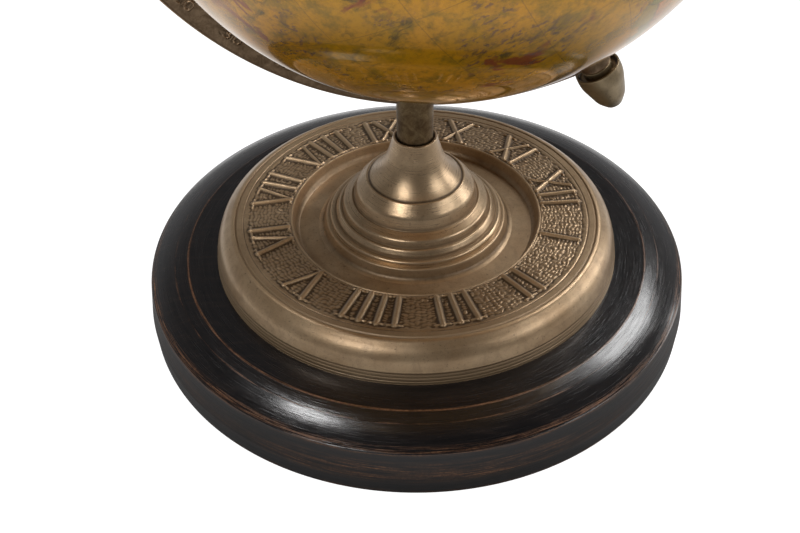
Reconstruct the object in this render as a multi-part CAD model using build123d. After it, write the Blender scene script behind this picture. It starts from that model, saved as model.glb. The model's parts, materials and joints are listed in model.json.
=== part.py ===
from build123d import *
from math import cos, pi, radians, sin
import os

# A desktop globe on a turned stand, in millimetres. +Z is up and the origin is the
# middle of the base, on the surface it stands on. The globe's axis lies in the XZ
# plane, with the south pole low on the +X side.

# --- driving dimensions ---
BASE_R = 134.0  # wooden base, widest radius
BASE_TOP = 31.0  # height of the flat ring that carries the dial plate
FELT_T = 2.0  # felt under the base
PLATE_R = 99.0  # cast dial plate, outer radius
BAND_Z = 49.3  # height of the numeral band
PEDESTAL_TOP = 94.0
POST_R = 8.5
GLOBE_R = 127.0  # a 10 inch globe
GLOBE_Z = 262.0  # height of the globe's centre
AXIS_TILT = 24.7  # axis against the meridian arm's own vertical
LEAN = 3.5  # the arm leans this far on its post, towards the south pole
TILT = AXIS_TILT + LEAN
ARM_OUTER_R = 150.4
ARM_INNER_R = 135.0
ARM_T = 5.0

# --- fits and fasteners ---
ROD_R = 4.0  # tie rod, M8
ROD_CLEARANCE = 0.3
AXIS_R = 2.5  # steel axis rod
RUNNING_FIT = 0.05  # radial, pole bush on axis rod
PIN_R = 1.5  # cross pin through post and arm
PIN_Z = 118.5
END_FLOAT = 0.3  # between each pole bush and its spacer
WALL = 4.0  # casting wall

GLOBE_X = ARM_OUTER_R * sin(radians(LEAN))  # the lean carries the centre sideways
GLOBE_FRAME = Plane(
    origin=(GLOBE_X, 0, GLOBE_Z),
    x_dir=(cos(radians(TILT)), 0, sin(radians(TILT))),
    z_dir=(-sin(radians(TILT)), 0, cos(radians(TILT))),
)


def turned(*corners):
    """A solid turned about Z from a closed outline. A corner is (radius, height) or
    (radius, height, rounding)."""
    points = [corner[:2] for corner in corners]
    rounding = [corner[2] if len(corner) > 2 else 0 for corner in corners]
    outline = FilletPolyline(*points, radius=rounding, close=True)
    return revolve(Plane.XZ * make_face(outline), Axis.Z)


def ring(inner_r, outer_r, low, high):
    return turned((inner_r, low), (outer_r, low), (outer_r, high), (inner_r, high))


def at_north(shape):
    """Puts a shape that was made along +Z from the globe's centre at the north pole."""
    return GLOBE_FRAME * shape


def at_south(shape):
    return GLOBE_FRAME * (Rot(180, 0, 0) * shape)


# --- base ---
NUT_POCKET_R = 16.0
NUT_POCKET_TOP = 12.0
WASHER_T = 1.6
NUT_H = 6.5
NUT_ACROSS_FLATS = 13.0
FELT_R = 127.0
RIM_FOOT = 0.5  # the wood's rim hides the felt's edge and hangs just clear of the surface


def felt_pad():
    return ring(0, FELT_R, 0, FELT_T)


def wood_base():
    hole = ROD_R + ROD_CLEARANCE
    return turned(
        (hole, NUT_POCKET_TOP),
        (NUT_POCKET_R, NUT_POCKET_TOP),
        (NUT_POCKET_R, FELT_T),
        (FELT_R, FELT_T),
        (FELT_R, RIM_FOOT),
        (BASE_R - 0.4, RIM_FOOT, 0.6),
        (BASE_R, 10.0),
        (BASE_R - 1.8, 24.7, 1.0),
        (123.2, 29.6, 45.0),
        (113.3, BASE_TOP, 0.5),
        (hole, BASE_TOP),
    )


def base_washer():
    return ring(ROD_R + ROD_CLEARANCE, 12.0, NUT_POCKET_TOP - WASHER_T, NUT_POCKET_TOP)


def base_nut():
    high = NUT_POCKET_TOP - WASHER_T
    corner_r = NUT_ACROSS_FLATS / 2 / cos(pi / 6)
    blank = Pos(0, 0, high - NUT_H) * extrude(RegularPolygon(corner_r, 6), NUT_H)
    return blank - Pos(0, 0, high - NUT_H / 2) * Cylinder(ROD_R, NUT_H)


# --- dial plate ---
ARRIS_Z = 37.4  # top of the plate's steep lower edge
SHOULDER_Z = 45.2
BAND_INNER_R = 60.4
HUB_R = 43.6
HUB_Z = 49.0
TROUGH_Z = 42.0
BAND_SUNK = 0.5  # the numerals' ground lies this far below the band's two edges
BEAD_INNER_R = 84.6
GROOVE_R = 88.0
NUMERAL_FOOT_R = 62.7
NUMERAL_HEAD_R = 80.8
NUMERAL_H = 1.2
SERIF_W = 1.4
STROKE_PITCH = 5.8  # degrees between two strokes of one numeral
FIRST_HOUR_ANGLE = -17.4  # where the numeral I stands, counter-clockwise from +X
# The pattern was cut by eye: how far each numeral stands clockwise of its true place.
HOUR_SHIFTS = [0.6, 1.6, 0.0, -0.3, -1.8, -1.8, -1.0, 1.2, -0.4, 2.6, 0.2, 1.2]
# The strokes of each letter as (foot, head, width): degrees to the right of the
# letter's middle at its foot and at its head, and the stroke's width.
LETTERS = {
    "I": [(0.0, 0.0, 2.6)],
    "V": [(0.0, -4.4, 2.6), (0.0, 4.4, 1.6)],
    "X": [(4.4, -4.4, 2.6), (-4.4, 4.4, 1.6)],
}
LETTER_W = {"I": STROKE_PITCH, "V": 10.6, "X": 10.2}
NUMERALS = ["I", "II", "III", "IIII", "V", "VI", "VII", "VIII", "IX", "X", "XI", "XII"]


def on_band(radius, angle):
    return (radius * cos(radians(angle)), radius * sin(radians(angle)))


def bar(start, end, width):
    """A raised bar on the numeral band between two points of the plan."""
    (x0, y0), (x1, y1) = start, end
    along = Vector(x1 - x0, y1 - y0, 0)
    place = Plane(((x0 + x1) / 2, (y0 + y1) / 2, BAND_Z - BAND_SUNK), x_dir=along)
    height = 2 * NUMERAL_H  # half of it is sunk in the band
    return place * Box(along.length, width, height)


def numeral(hour):
    """The strokes of one numeral with its head outwards, and its two serif lines."""
    text = NUMERALS[hour - 1]
    middle = FIRST_HOUR_ANGLE - 30 * (hour - 1) - HOUR_SHIFTS[hour - 1]
    half = sum(LETTER_W[letter] for letter in text) / 2
    right = -half
    bars = []
    for letter in text:
        right += LETTER_W[letter] / 2
        for foot, head, width in LETTERS[letter]:
            start = on_band(NUMERAL_FOOT_R, middle - right - foot)
            end = on_band(NUMERAL_HEAD_R, middle - right - head)
            bars.append(bar(start, end, width))
        right += LETTER_W[letter] / 2
    for radius in (NUMERAL_FOOT_R, NUMERAL_HEAD_R):
        line = bar(on_band(radius, middle - half), on_band(radius, middle + half), SERIF_W)
        bars.append(line)
    return bars


def dial_plate():
    hole = ROD_R + ROD_CLEARANCE
    under_band = BAND_Z - WALL
    plate = turned(
        (hole, BASE_TOP),
        (13.0, BASE_TOP),
        (13.0, HUB_Z - WALL, 2.0),
        (HUB_R - 1.0, HUB_Z - WALL, 2.0),
        (HUB_R + 2.5, TROUGH_Z - WALL, 3.0),
        (BAND_INNER_R - 3.5, TROUGH_Z - WALL, 3.0),
        (BAND_INNER_R - 0.5, under_band, 2.0),
        (PLATE_R - WALL, under_band, 9.0),
        (PLATE_R - WALL, BASE_TOP),
        (PLATE_R, BASE_TOP),
        (PLATE_R - 1.0, ARRIS_Z, 0.3),
        (PLATE_R - 3.4, SHOULDER_Z, 12.0),
        (PLATE_R - 9.0, BAND_Z + 0.1, 3.0),
        (GROOVE_R + 0.5, BAND_Z + 0.1),
        (GROOVE_R, BAND_Z - 0.7),
        (GROOVE_R - 0.5, BAND_Z),
        (BEAD_INNER_R, BAND_Z),
        (BEAD_INNER_R - 0.5, BAND_Z - BAND_SUNK),
        (BAND_INNER_R + 1.4, BAND_Z - BAND_SUNK),
        (BAND_INNER_R + 0.6, BAND_Z),
        (BAND_INNER_R, BAND_Z),
        (BAND_INNER_R - 2.0, TROUGH_Z + 1.0, 4.5),
        (HUB_R + 7.4, TROUGH_Z, 7.0),
        (HUB_R + 1.8, TROUGH_Z + 2.6, 2.5),
        (HUB_R, HUB_Z, 0.6),
        (hole, HUB_Z),
    )
    for hour in range(1, 13):
        plate = plate + numeral(hour)
    return plate


# --- pedestal, post and tie rod ---
POST_SEAT_Z = 92.4
POST_SEAT_R = 9.3
SPIGOT_R = 6.0
SPIGOT_FOOT_Z = 78.0
POST_TOP = 124.0
ROD_TOP = 107.0
ROD_FOOT = 3.0


def pedestal():
    """A bell turned with three rings, hollow below and bored for the post's spigot."""
    return turned(
        (ROD_R + ROD_CLEARANCE, 71.0),
        (13.0, 71.0, 3.0),
        (19.0, 64.0, 4.0),
        (26.0, 56.0, 4.0),
        (34.0, 52.5, 1.5),
        (34.0, HUB_Z),
        (41.8, HUB_Z),
        (41.8, 51.6, 1.2),
        (39.2, 51.6),
        (39.0, 51.0),
        (38.6, 52.8, 0.5),
        (36.9, 55.4, 1.2),
        (35.6, 54.8),
        (34.9, 58.2, 2.0),
        (30.6, 60.6, 0.6),
        (29.9, 60.0),
        (28.4, 66.4, 6.0),
        (23.4, 71.8, 0.8),
        (22.4, 71.4),
        (15.0, 78.0, 30.0),
        (10.2, PEDESTAL_TOP, 0.4),
        (POST_SEAT_R, PEDESTAL_TOP),
        (POST_SEAT_R, POST_SEAT_Z),
        (SPIGOT_R, POST_SEAT_Z),
        (SPIGOT_R, SPIGOT_FOOT_Z),
        (ROD_R + ROD_CLEARANCE, SPIGOT_FOOT_Z),
    )


def about_globe_centre(radius, length):
    """A cylinder along Y whose middle is the globe's centre."""
    return Pos(GLOBE_X, 0, GLOBE_Z) * Rot(90, 0, 0) * Cylinder(radius, length)


def cross_pin_bore():
    return Pos(0, 0, PIN_Z) * Rot(90, 0, 0) * Cylinder(PIN_R, 3 * POST_R)


def post():
    blank = turned(
        (0, ROD_TOP + 1.0),
        (ROD_R, ROD_TOP + 1.0),
        (ROD_R, SPIGOT_FOOT_Z),
        (SPIGOT_R, SPIGOT_FOOT_Z),
        (SPIGOT_R, POST_SEAT_Z),
        (POST_R, POST_SEAT_Z),
        (POST_R, POST_TOP, 1.0),
        (0, POST_TOP),
    )
    slot = Pos(0, 0, POST_TOP) * Box(4 * POST_R, ARM_T, 2 * POST_TOP)
    slot = slot & about_globe_centre(ARM_OUTER_R, 4 * POST_R)
    return blank - slot - cross_pin_bore()


def tie_rod():
    return turned((0, ROD_FOOT), (ROD_R, ROD_FOOT), (ROD_R, ROD_TOP), (0, ROD_TOP))


def arm_pin():
    return Pos(0, 0, PIN_Z) * Rot(90, 0, 0) * Cylinder(PIN_R, 1.9 * POST_R)


# --- meridian arm and axis ---
BOSS_R = 7.0
BOSS_INNER = 134.5
COLLAR_R = 6.85
RIM_OUT = 152.0  # the finial's rim, from the globe's centre
CUP_FLOOR = 154.0
SHOULDER_OUT = 157.5
TIP_OUT = 173.6
ROD_END = 167.0
FLANGE_OUT = 128.3  # outer face of a pole bush
FLANGE_IN = 126.6


def meridian_arm():
    """Half a ring from pole to pole, with a bored boss at each end."""
    half_ring = about_globe_centre(ARM_OUTER_R, ARM_T) - about_globe_centre(ARM_INNER_R, ARM_T)
    kept = GLOBE_FRAME * Pos(-ARM_OUTER_R, 0, 0) * Box(
        2 * ARM_OUTER_R, 2 * ARM_T, 2.2 * ARM_OUTER_R
    )
    boss = Pos(0, 0, (BOSS_INNER + ARM_OUTER_R) / 2) * Cylinder(
        BOSS_R, ARM_OUTER_R - BOSS_INNER
    )
    arm = half_ring & kept
    arm = arm + at_north(boss) + at_south(boss)
    bore = GLOBE_FRAME * Cylinder(AXIS_R, 3 * ARM_OUTER_R)
    return arm - bore - cross_pin_bore()


def axis_rod():
    return GLOBE_FRAME * Cylinder(AXIS_R, 2 * ROD_END)


def spacer():
    return ring(AXIS_R, 4.0, FLANGE_OUT + END_FLOAT, BOSS_INNER)


def collar():
    return turned(
        (AXIS_R, ARM_OUTER_R),
        (COLLAR_R, ARM_OUTER_R, 0.4),
        (COLLAR_R, CUP_FLOOR),
        (AXIS_R, CUP_FLOOR),
    )


def finial():
    """An acorn with a cupped rim that screws on the end of the axis rod."""
    return turned(
        (0, ROD_END),
        (AXIS_R, ROD_END),
        (AXIS_R, CUP_FLOOR),
        (9.1, CUP_FLOOR, 0.5),
        (9.5, RIM_OUT),
        (10.3, RIM_OUT),
        (10.4, SHOULDER_OUT, 18.0),
        (7.0, 168.5, 10.0),
        (3.4, TIP_OUT, 3.0),
        (0, TIP_OUT),
    )


# --- globe ---
SHELL_T = 2.0
BUSH_R = 5.5
FLANGE_R = 8.0
BUSH_FOOT = 116.0
BAND_R = 124.6  # equator ring, just inside the shells
BAND_T = 3.0
BAND_H = 16.0


def pole_bush():
    bore = AXIS_R + RUNNING_FIT
    return turned(
        (bore, BUSH_FOOT),
        (BUSH_R, BUSH_FOOT),
        (BUSH_R, FLANGE_IN),
        (FLANGE_R, FLANGE_IN),
        (FLANGE_R, FLANGE_OUT, 0.5),
        (bore, FLANGE_OUT),
    )


def half_shell():
    """The northern half of the globe, spot-faced and bored at its pole."""
    whole = Sphere(GLOBE_R) - Sphere(GLOBE_R - SHELL_T)
    half = whole & Pos(0, 0, GLOBE_R) * Box(3 * GLOBE_R, 3 * GLOBE_R, 2 * GLOBE_R)
    spot_face = Pos(0, 0, FLANGE_IN + GLOBE_R / 2) * Cylinder(FLANGE_R, GLOBE_R)
    return half - spot_face - Pos(0, 0, GLOBE_R) * Cylinder(BUSH_R, GLOBE_R / 2)


def equator_ring():
    return GLOBE_FRAME * ring(BAND_R - BAND_T, BAND_R, -BAND_H / 2, BAND_H / 2)


NODES = {
    "felt_pad": felt_pad(),
    "wood_base": wood_base(),
    "base_washer": base_washer(),
    "base_nut": base_nut(),
    "dial_plate": dial_plate(),
    "pedestal": pedestal(),
    "post": post(),
    "tie_rod": tie_rod(),
    "arm_pin": arm_pin(),
    "meridian_arm": meridian_arm(),
    "axis_rod": axis_rod(),
    "north_spacer": at_north(spacer()),
    "south_spacer": at_south(spacer()),
    "north_collar": at_north(collar()),
    "south_collar": at_south(collar()),
    "north_finial": at_north(finial()),
    "south_finial": at_south(finial()),
    "north_bush": at_north(pole_bush()),
    "south_bush": at_south(pole_bush()),
    "globe_north": at_north(half_shell()),
    "globe_south": at_south(half_shell()),
    "equator_ring": equator_ring(),
}

os.makedirs("parts", exist_ok=True)
for name, shape in NODES.items():
    export_step(shape, f"parts/{name}.step")
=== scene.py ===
"""Looks for the desktop globe on its turned stand, built around the CAD frame.

Lengths are in millimetres up to the mesh calls, which turn them into metres. Turned pieces are
outlines of (radius, height) corners about +Z, and the globe's pieces are made about its own axis.
"""

import json
import math

import bmesh
import bpy
import numpy as np
from mathutils import Matrix, Vector


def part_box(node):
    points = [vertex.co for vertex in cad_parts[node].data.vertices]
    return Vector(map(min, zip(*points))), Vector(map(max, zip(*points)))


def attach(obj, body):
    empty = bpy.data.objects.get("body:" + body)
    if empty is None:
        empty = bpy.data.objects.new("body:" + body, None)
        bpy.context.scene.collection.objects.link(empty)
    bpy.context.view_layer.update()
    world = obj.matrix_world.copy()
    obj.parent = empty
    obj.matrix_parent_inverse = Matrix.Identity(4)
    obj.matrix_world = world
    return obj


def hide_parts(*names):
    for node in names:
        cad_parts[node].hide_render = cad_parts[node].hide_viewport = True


MM = 0.001
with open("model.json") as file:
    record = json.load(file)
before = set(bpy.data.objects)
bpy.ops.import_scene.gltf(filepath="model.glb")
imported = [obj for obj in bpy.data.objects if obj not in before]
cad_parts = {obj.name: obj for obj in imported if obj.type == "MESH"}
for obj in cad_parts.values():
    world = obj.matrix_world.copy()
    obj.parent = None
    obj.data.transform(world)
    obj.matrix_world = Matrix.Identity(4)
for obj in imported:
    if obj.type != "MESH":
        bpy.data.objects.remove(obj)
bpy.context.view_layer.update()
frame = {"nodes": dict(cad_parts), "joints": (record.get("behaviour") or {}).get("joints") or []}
spin = frame["joints"][0]


# ---------- sizes
def node_top(node):
    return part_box(node)[1].z / MM


def node_foot(node):
    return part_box(node)[0].z / MM


def node_radius(node):
    low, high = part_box(node)
    return (high.y - low.y) / 2 / MM


BASE_R = node_radius("wood_base")
BASE_TOP = node_top("wood_base")
FELT_T = node_top("felt_pad")
FELT_R = node_radius("felt_pad")
RIM_FOOT = 0.5
POCKET_R = 16.0
ROLL_R = 123.2
SHELF_R = 113.3
PLATE_R = node_radius("dial_plate")
PLATE_BORE_R = 13.0
BAND_Z = 49.3
BAND_INNER_R = 60.4
BEAD_INNER_R = 84.6
GROOVE_R = 88.0
HUB_Z = node_foot("pedestal")
HUB_R = 43.6
TROUGH_Z = 42.0
ARRIS_Z = 37.4
SHOULDER_Z = 45.2
PEDESTAL_TOP = node_top("pedestal")
POST_SEAT_Z = 92.4
POST_SEAT_R = 9.3
BELL_CEILING_Z = 71.0
TIE_BORE_R = 4.3
GLOBE_R = node_radius("globe_north")
SHELL_T = 2.0
POLE_HOLE_R = 8.0
SEAM_HALF = 0.12
SEAM_DEPTH = 0.25
ARM_OUTER_R = 150.4
ARM_INNER_R = 135.0
ARM_T = 5.0
BOSS_R = 7.0
BOSS_BORE_R = 2.5
BOSS_INNER = 134.5
RIM_OUT = 152.0
CUP_FLOOR = 154.0
TIP_OUT = 173.6

AXIS = Vector(spin["axis"]).normalized()
ACROSS = Vector((0, 1, 0)).cross(AXIS)
GLOBE_MATRIX = Matrix.Translation(Vector(spin["pos_m"])) @ Matrix(
    (ACROSS, Vector((0, 1, 0)), AXIS)
).transposed().to_4x4()


# ---------- meshes
ARC_STEP = 0.8  # mm between the points of a rounded corner
SHARP_DEG = 40.0
MERGE_M = 1e-7
SLIVER_M = 1e-8


def rounded(corners):
    """Outline points from corners (radius, height) or (radius, height, rounding)."""
    points = []
    count = len(corners)
    for i, corner in enumerate(corners):
        here = np.array(corner[:2], float)
        if len(corner) < 3:
            points.append(here)
            continue
        back = np.array(corners[i - 1][:2], float) - here
        ahead = np.array(corners[(i + 1) % count][:2], float) - here
        back /= np.linalg.norm(back)
        ahead /= np.linalg.norm(ahead)
        half = math.acos(np.clip(back @ ahead, -1, 1)) / 2
        middle = (back + ahead) / np.linalg.norm(back + ahead)
        centre = here + middle * corner[2] / math.sin(half)
        start = here + back * corner[2] / math.tan(half) - centre
        sweep = math.pi - 2 * half
        if start[0] * ahead[1] - start[1] * ahead[0] < 0:
            sweep = -sweep
        arc_steps = max(4, math.ceil(abs(sweep) * corner[2] / ARC_STEP))
        for step in range(arc_steps + 1):
            turn = sweep * step / arc_steps
            points.append(
                centre
                + start * math.cos(turn)
                + np.array([-start[1], start[0]]) * math.sin(turn)
            )
    return np.array(points)


def resampled(points, step):
    """The same closed outline with points added near the ends of its straight stretches. The gaps
    double from step onwards, away from each end."""
    out = []
    for start, end in zip(points, np.roll(points, -1, 0)):
        length = np.linalg.norm(end - start)
        away = []
        while step * (2 ** (len(away) + 1) - 1) < length / 2:
            away.append(step * (2 ** (len(away) + 1) - 1) / length)
        out += [start + (end - start) * share for share in [0.0, *away, *(1 - a for a in away[::-1])]]
    return np.array(out)


def corner_marks(points, width):
    """How near each point of a closed outline is to an outside edge, and to an inside corner."""
    ahead = np.roll(points, -1, 0) - points
    back = points - np.roll(points, 1, 0)
    turn = np.arctan2(
        back[:, 0] * ahead[:, 1] - back[:, 1] * ahead[:, 0], (back * ahead).sum(1)
    )
    lengths = np.linalg.norm(ahead, axis=1)
    along = np.concatenate([[0], np.cumsum(lengths)[:-1]])
    total = lengths.sum()
    gap = np.abs(along[:, None] - along[None, :])
    gap = np.minimum(gap, total - gap)
    weight = np.exp(-((gap / width) ** 2))
    edge = weight @ np.maximum(turn, 0)
    hollow_and_shadow = weight @ np.maximum(-turn, 0)
    return np.clip(edge, 0, 1), np.clip(hollow_and_shadow, 0, 1)


def grid_faces(rows, columns, wrap_rows, wrap_columns):
    row = np.arange(rows if wrap_rows else rows - 1)[:, None]
    column = np.arange(columns if wrap_columns else columns - 1)[None, :]
    next_row = (row + 1) % rows
    next_column = (column + 1) % columns
    corners = (
        row * columns + column,
        row * columns + next_column,
        next_row * columns + next_column,
        next_row * columns + column,
    )
    return np.stack([np.broadcast_to(c, corners[0].shape) for c in corners], -1).reshape(-1, 4)


def add_object(name, data):
    made = bpy.data.objects.new(name, data)
    bpy.context.scene.collection.objects.link(made)
    return made


def make_object(name, parts, marks, about_axis=False):
    """One object from parts, each (vertices in mm, faces). marks holds an attribute's values
    for every vertex, by name. about_axis says that the points are given in the globe's own frame,
    and the spot attribute keeps them for the shaders."""
    spots = np.concatenate([p[0].reshape(-1, 3) for p in parts])
    vertices = spots * MM
    if about_axis:
        turn = np.array(GLOBE_MATRIX)
        vertices = vertices @ turn[:3, :3].T + turn[:3, 3]
    faces = []
    offset = 0
    for points, quads in parts:
        faces += (quads + offset).tolist()
        offset += len(points.reshape(-1, 3))
    mesh = bpy.data.meshes.new(name)
    mesh.from_pydata(vertices.tolist(), [], faces)
    for mark, values in marks.items():
        attribute = mesh.attributes.new(mark, "FLOAT", "POINT")
        attribute.data.foreach_set("value", np.asarray(values, np.float32).ravel())
    attribute = mesh.attributes.new("spot", "FLOAT_VECTOR", "POINT")
    attribute.data.foreach_set("vector", spots.astype(np.float32).ravel())
    work = bmesh.new()
    work.from_mesh(mesh)
    bmesh.ops.remove_doubles(work, verts=work.verts, dist=MERGE_M)
    bmesh.ops.dissolve_degenerate(work, edges=work.edges, dist=SLIVER_M)
    work.to_mesh(mesh)
    work.free()
    mesh.polygons.foreach_set("use_smooth", [True] * len(mesh.polygons))
    mesh.set_sharp_from_angle(angle=math.radians(SHARP_DEG))
    return add_object(name, mesh)


def whole_turn(columns):
    return np.linspace(0, 2 * math.pi, columns, endpoint=False)


def lathe_part(outline, columns):
    """Vertices and faces of a closed outline turned about Z."""
    angle = whole_turn(columns)
    radius = outline[:, 0][:, None]
    vertices = np.stack(
        [
            radius * np.cos(angle),
            radius * np.sin(angle),
            np.broadcast_to(outline[:, 1][:, None], (len(outline), columns)),
        ],
        -1,
    )
    return vertices, grid_faces(len(outline), columns, True, True)


def turned(name, corners, columns, step, mark_width, about_axis=False, flip=False):
    """A turned piece with its edge and hollow marks. flip turns it over, for a south end."""
    outline = resampled(rounded(corners), step)
    edge, hollow_and_shadow = corner_marks(outline, mark_width)
    vertices, faces = lathe_part(outline, columns)
    if flip:
        vertices = vertices * np.array([1, -1, -1])
    marks = {"edge": np.repeat(edge, columns), "hollow_and_shadow": np.repeat(hollow_and_shadow, columns)}
    return make_object(name, [(vertices, faces)], marks, about_axis)


def dress(piece, material):
    piece.data.materials.clear()
    piece.data.materials.append(material)


def place(piece, material, body, node):
    """Puts a piece on its body, with its material and the CAD node it replaces."""
    dress(piece, material)
    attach(piece, body)
    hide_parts(node)


# ---------- shader tools
class Shader:
    """A material under construction: node(kind, inputs) adds a node and links its inputs."""

    def __init__(self, name, cad=False):
        self.cad = cad
        self.material = bpy.data.materials.new(name)
        self.material.use_nodes = True
        self.tree = self.material.node_tree
        self.tree.nodes.clear()

    def node(self, kind, inputs=None, **settings):
        made = self.tree.nodes.new("ShaderNode" + kind)
        for key, value in settings.items():
            setattr(made, key, value)
        for key, value in (inputs or {}).items():
            self.feed(made.inputs[key], value)
        return made

    def feed(self, socket, value):
        if isinstance(value, bpy.types.NodeSocket):
            self.tree.links.new(value, socket)
        elif isinstance(value, tuple) and len(value) == 3 and socket.type == "RGBA":
            socket.default_value = (*value, 1)
        else:
            socket.default_value = value

    def math(self, operation, a, b=0.0):
        return self.node("Math", {0: a, 1: b}, operation=operation).outputs[0]

    def times(self, a, b):
        return self.math("MULTIPLY", a, b)

    def plus(self, a, b):
        return self.math("ADD", a, b)

    def minus(self, a, b):
        return self.math("SUBTRACT", a, b)

    def distance_from_axis(self, x, y):
        return self.math("SQRT", self.plus(self.times(x, x), self.times(y, y)))

    def mix(self, share, a, b):
        made = self.node("Mix", data_type="RGBA")
        self.feed(made.inputs[0], share)
        self.feed(made.inputs[6], a)
        self.feed(made.inputs[7], b)
        return made.outputs[2]

    def tint(self, color, mask, strength, tone):
        """color with tone over it where mask is set, as far as strength."""
        return self.mix(self.times(mask, strength), color, tone)

    def fit(self, value, low, high, to_low=0.0, to_high=1.0):
        """value from low..high to to_low..to_high, held at the ends."""
        inputs = {"Value": value, "From Min": low, "From Max": high, "To Min": to_low, "To Max": to_high}
        return self.node("MapRange", inputs, clamp=True).outputs["Result"]

    def noise(self, vector, scale, detail=3.0, rough=0.55, w=None, distortion=0.0):
        inputs = {"Vector": vector, "Scale": scale, "Detail": detail, "Roughness": rough}
        inputs["Distortion"] = distortion
        if w is not None:
            inputs["W"] = w
        dims = "3D" if w is None else "4D"
        return self.node("TexNoise", inputs, noise_dimensions=dims).outputs[0]

    def mark(self, name):
        return self.node("Attribute", attribute_name=name).outputs["Fac"]

    def place(self):
        """The point's place in mm, whole and split: in the stand's frame on a CAD node, and as it
        was made on a piece from this script."""
        if self.cad:
            object_place = self.node("TexCoord").outputs["Object"]
            scaled = self.node("VectorMath", {0: object_place, "Scale": 1 / MM}, operation="SCALE")
            whole = scaled.outputs[0]
        else:
            whole = self.node("Attribute", attribute_name="spot").outputs["Vector"]
        split = self.node("SeparateXYZ", {0: whole})
        return whole, split.outputs[0], split.outputs[1], split.outputs[2]

    def join(self, x, y, z):
        return self.node("CombineXYZ", {0: x, 1: y, 2: z}).outputs[0]

    def turning(self, x, y, z, around, pitch, detail, rough):
        """Turning marks: noise that is slow around the axis, with a unit per pitch mm across it."""
        radius = self.distance_from_axis(x, y)
        safe = self.math("MAXIMUM", radius, 0.01)
        cosine = self.times(self.math("DIVIDE", x, safe), around)
        sine = self.times(self.math("DIVIDE", y, safe), around)
        rings = self.join(cosine, sine, self.math("DIVIDE", radius, pitch))
        return self.noise(rings, 1.0, detail, rough, w=self.math("DIVIDE", z, pitch))

    def finish(self, color, rough, bumps, **sockets):
        """The surface. bumps are (height socket, depth in mm), and each builds on the last."""
        surface = self.node("BsdfPrincipled")
        self.feed(surface.inputs["Base Color"], color)
        self.feed(surface.inputs["Roughness"], rough)
        normal = {}
        for height, depth in bumps:
            inputs = {"Height": height, "Distance": depth * MM, "Strength": 1.0, **normal}
            normal = {"Normal": self.node("Bump", inputs).outputs[0]}
        self.feed(surface.inputs["Normal"], normal["Normal"])
        for key, value in sockets.items():
            self.feed(surface.inputs[key.replace("_", " ")], value)
        output = self.node("OutputMaterial")
        self.tree.links.new(surface.outputs[0], output.inputs[0])
        return self.material


# ---------- materials
def brass(name, pale, warm, dark, rough, lathe_pitch=0.5, grain_depth=0.012, cad=False):
    """Satin antique brass: pale on worn edges, brown patina in hollows, small stains and fine
    turning marks."""
    s = Shader(name, cad)
    whole, x, y, z = s.place()
    marks = s.turning(x, y, z, 1.3, lathe_pitch, 4.0, 0.65)
    cloud = s.noise(whole, 0.045, 4.0, 0.6)
    speck = s.noise(whole, 1.6, 3.0, 0.7)
    pit = s.noise(whole, 0.75, 4.0, 0.7, distortion=0.5)
    blotch = s.noise(whole, 0.16, 5.0, 0.68, distortion=0.8)
    color = s.mix(s.fit(cloud, 0.35, 0.65), warm, pale)
    color = s.tint(color, s.fit(marks, 0.40, 0.66), 0.25, pale)
    color = s.tint(color, s.fit(speck, 0.54, 0.70), 0.25, dark)
    color = s.tint(color, s.fit(pit, 0.60, 0.68), 0.55, dark)
    stain = s.times(s.fit(blotch, 0.46, 0.70), 0.25)
    color = s.mix(stain, color, dark)
    hollow_and_shadow = s.fit(s.times(s.mark("hollow_and_shadow"), s.fit(blotch, 0.2, 0.6, 0.75, 1.15)), 0.06, 0.8)
    color = s.tint(color, hollow_and_shadow, 0.9, dark)
    edge = s.fit(s.times(s.mark("edge"), s.fit(marks, 0.3, 0.6, 0.5, 1.0)), 0.1, 0.9)
    color = s.tint(color, edge, 0.5, tuple(min(1, c * 1.35) for c in pale))
    gloss = s.plus(s.fit(marks, 0.3, 0.7, rough - 0.04, rough + 0.06), s.times(hollow_and_shadow, 0.15))
    gloss = s.plus(gloss, s.times(stain, 0.2))
    return s.finish(
        color,
        gloss,
        [(speck, 0.025), (pit, 0.04), (marks, grain_depth)],
        Metallic=0.7,
        Coat_Weight=0.3,
        Coat_Roughness=0.32,
    )


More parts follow.
